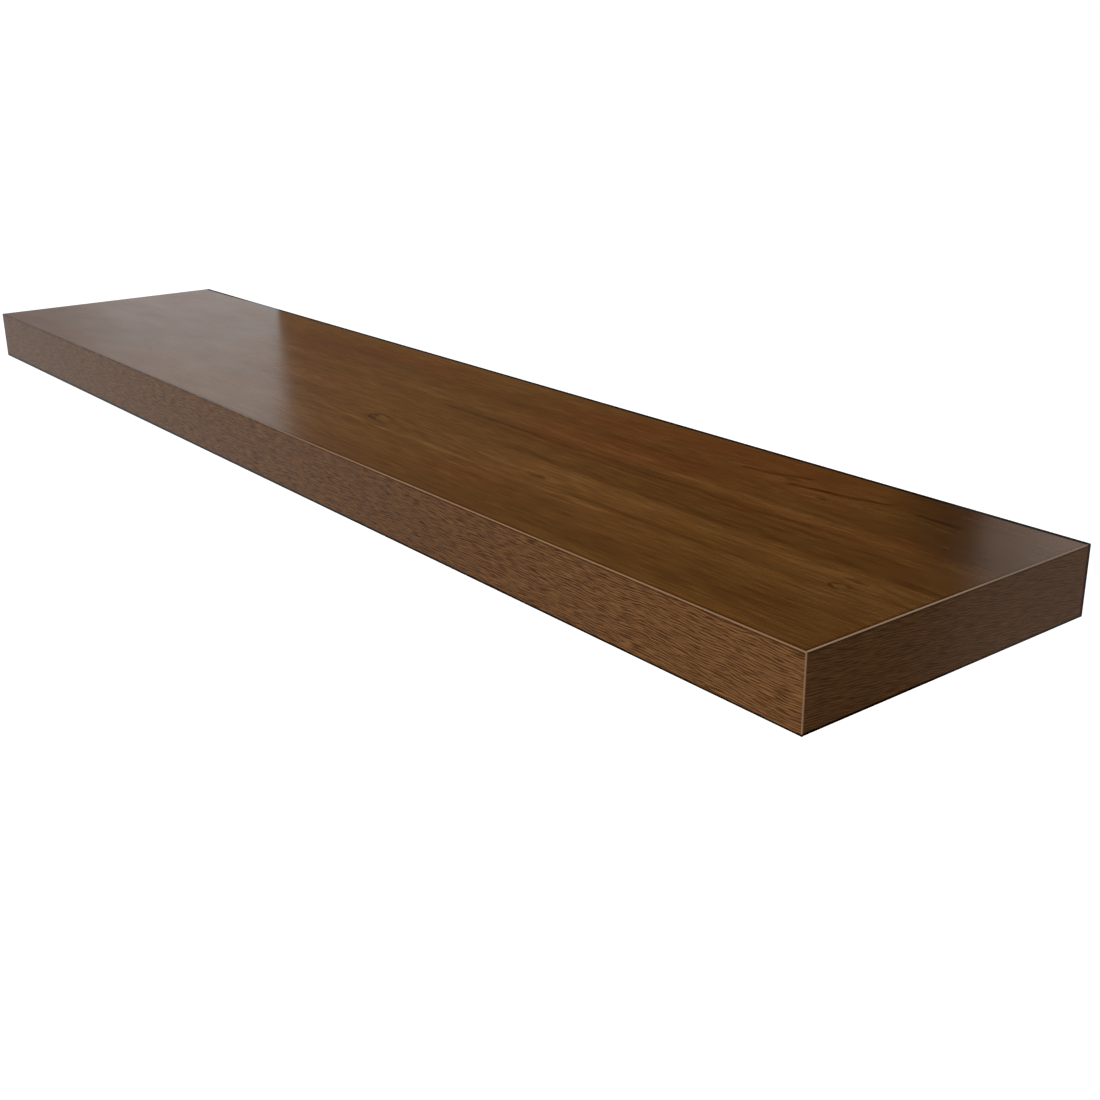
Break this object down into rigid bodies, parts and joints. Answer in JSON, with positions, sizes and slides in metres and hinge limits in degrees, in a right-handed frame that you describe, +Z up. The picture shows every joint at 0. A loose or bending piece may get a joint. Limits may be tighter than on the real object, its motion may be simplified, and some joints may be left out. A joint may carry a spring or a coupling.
{
  "type": "floating wall shelf",
  "caption": "Long hollow-core wall shelf in dark walnut laminate that slides onto the rods of a hidden steel wall bracket.",
  "frame": {"origin": "middle of the wall rail's back face, on the wall, at mid height of the shelf", "axes": "+X along the shelf to the right as seen from the room, +Y into the wall, +Z up"},
  "size_m": [1.22, 0.254, 0.048],
  "materials": {
    "walnut_laminate": "satin",
    "backing_laminate": "matte",
    "fibreboard": "matte",
    "particleboard": "matte",
    "kraft_paper": "matte",
    "embossed_band": "satin",
    "brass_insert": "satin",
    "black_oxide_steel": "satin",
    "coated_steel": "satin",
    "weld_metal": "satin"
  },
  "bodies": {
    "bracket": {"wall_rail": "coated_steel", "rod_1": "coated_steel", "rod_2": "coated_steel", "rod_3": "coated_steel", "rod_4": "coated_steel", "weld_1": "weld_metal", "weld_2": "weld_metal", "weld_3": "weld_metal", "weld_4": "weld_metal"},
    "shelf": {"top_laminate": "walnut_laminate", "top_skin": "fibreboard", "bottom_skin": "fibreboard", "bottom_laminate": "backing_laminate", "front_rail": "particleboard", "back_rail": "particleboard", "left_end_rail": "particleboard", "right_end_rail": "particleboard", "rib_1": "particleboard", "rib_2": "particleboard", "rib_3": "particleboard", "rib_4": "particleboard", "honeycomb_1": "kraft_paper", "honeycomb_2": "kraft_paper", "honeycomb_3": "kraft_paper", "honeycomb_4": "kraft_paper", "honeycomb_5": "kraft_paper", "front_edge_band": "embossed_band", "left_edge_band": "embossed_band", "right_edge_band": "embossed_band", "left_lock_insert": "brass_insert", "right_lock_insert": "brass_insert"},
    "left_lock_screw": {"left_lock_screw": "black_oxide_steel"},
    "right_lock_screw": {"right_lock_screw": "black_oxide_steel"}
  },
  "joints": [
    {"name": "shelf_slide", "type": "slide", "parent": "bracket", "child": "shelf", "axis": [0, -1, 0], "range_m": [0, 0.2]},
    {"name": "left_lock_screw_travel", "type": "slide", "parent": "shelf", "child": "left_lock_screw", "axis": [0, 0, -1], "range_m": [0, 0.006]},
    {"name": "right_lock_screw_travel", "type": "slide", "parent": "shelf", "child": "right_lock_screw", "axis": [0, 0, -1], "range_m": [0, 0.006]}
  ]
}
